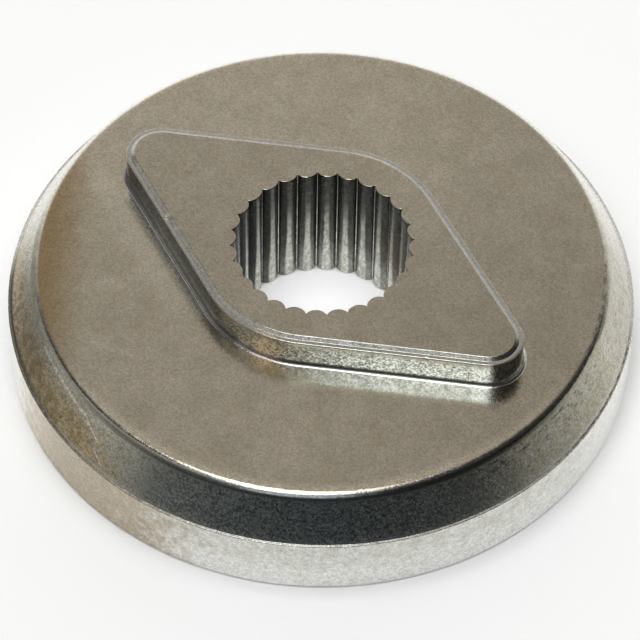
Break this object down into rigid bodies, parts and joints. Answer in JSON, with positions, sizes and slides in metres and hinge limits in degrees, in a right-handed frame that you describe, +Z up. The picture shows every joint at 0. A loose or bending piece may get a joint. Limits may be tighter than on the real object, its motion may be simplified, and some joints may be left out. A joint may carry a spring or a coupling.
{
  "type": "mower blade adapter",
  "caption": "Round sintered steel hub with a steep edge chamfer, a raised lozenge boss that keys a mower blade, and a serrated through bore for the drive spindle.",
  "frame": {"origin": "centre of the bore on the flat underside", "axes": "+Z up along the bore towards the blade side, +X along the long diagonal of the lozenge boss"},
  "size_m": [0.0636, 0.0636, 0.015],
  "materials": {
    "sintered_steel": "satin grey-brown sintered steel with a fine grain, bright worn edges and faint brown stains"
  },
  "bodies": {
    "root": {"blade_adapter": "sintered_steel"}
  },
  "joints": []
}
